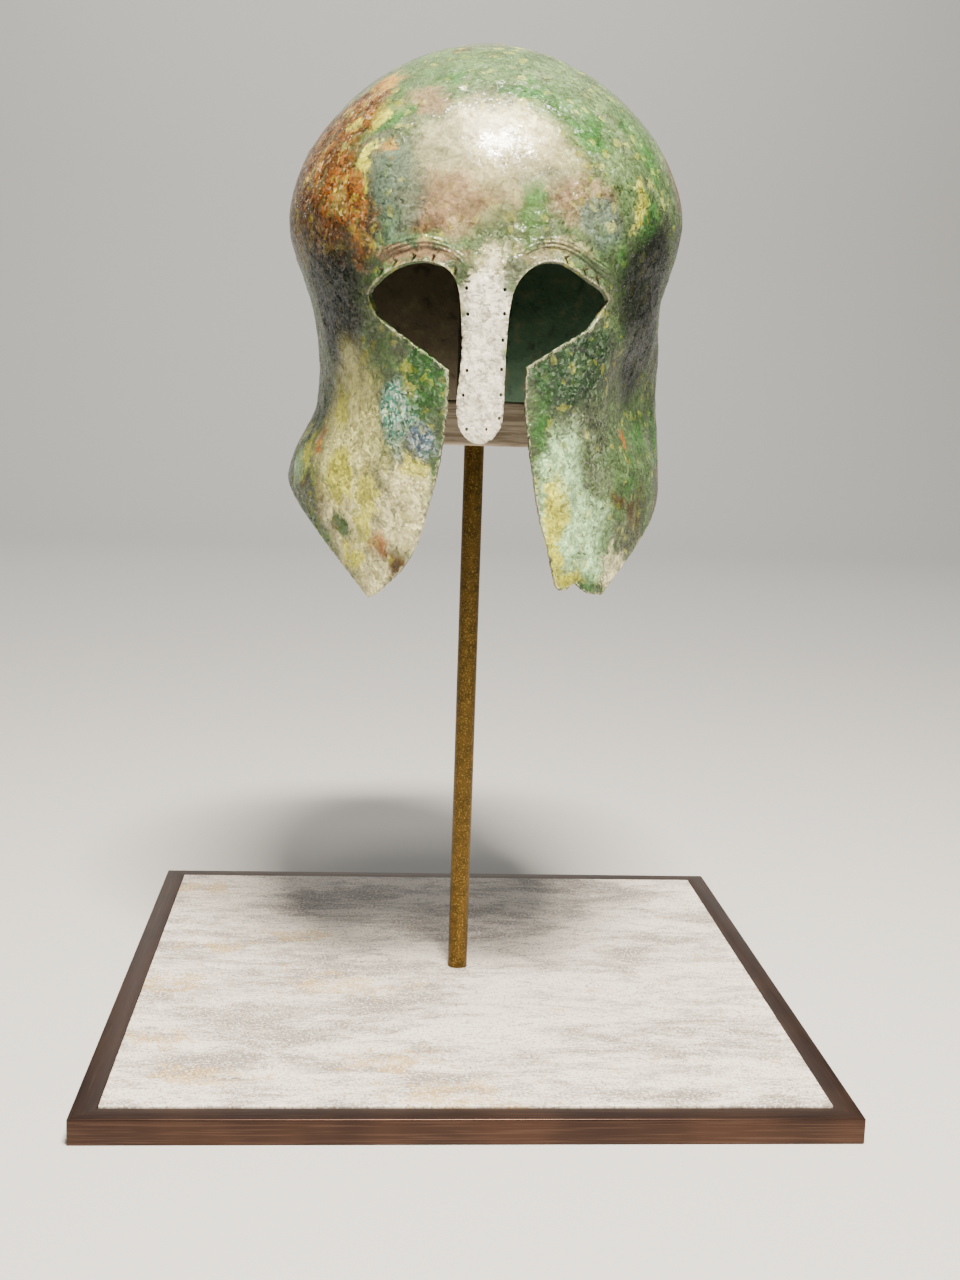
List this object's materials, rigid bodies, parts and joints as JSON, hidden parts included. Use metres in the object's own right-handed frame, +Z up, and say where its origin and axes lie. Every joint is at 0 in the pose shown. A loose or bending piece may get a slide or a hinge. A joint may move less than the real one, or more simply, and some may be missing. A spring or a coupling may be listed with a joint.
{
  "type": "corinthian helmet on a display stand",
  "caption": "Hollow bronze corinthian helmet with eye openings, nasal and cheek pieces, held up on a slim rod over a square stone base.",
  "frame": {"origin": "centre of the base's underside", "axes": "+Z up; the face looks along -Y; +X to the viewer's right of the face"},
  "size_m": [0.35, 0.35, 0.4959],
  "materials": {
    "helmet_bronze": "satin",
    "pin_bronze": "satin",
    "block_wood": "satin",
    "post_metal": "satin",
    "rod_brass": "satin",
    "slab_stone": "matte",
    "tray_bronze": "satin"
  },
  "bodies": {
    "root": {"helmet_shell": "helmet_bronze", "brow_pin_1": "pin_bronze", "brow_pin_2": "pin_bronze", "brow_pin_3": "pin_bronze", "brow_pin_4": "pin_bronze", "brow_pin_5": "pin_bronze", "brow_pin_6": "pin_bronze", "brow_pin_7": "pin_bronze", "brow_pin_8": "pin_bronze", "support_block": "block_wood", "crown_post": "post_metal", "stand_rod": "rod_brass", "base_slab": "slab_stone", "base_tray": "tray_bronze"}
  },
  "joints": []
}
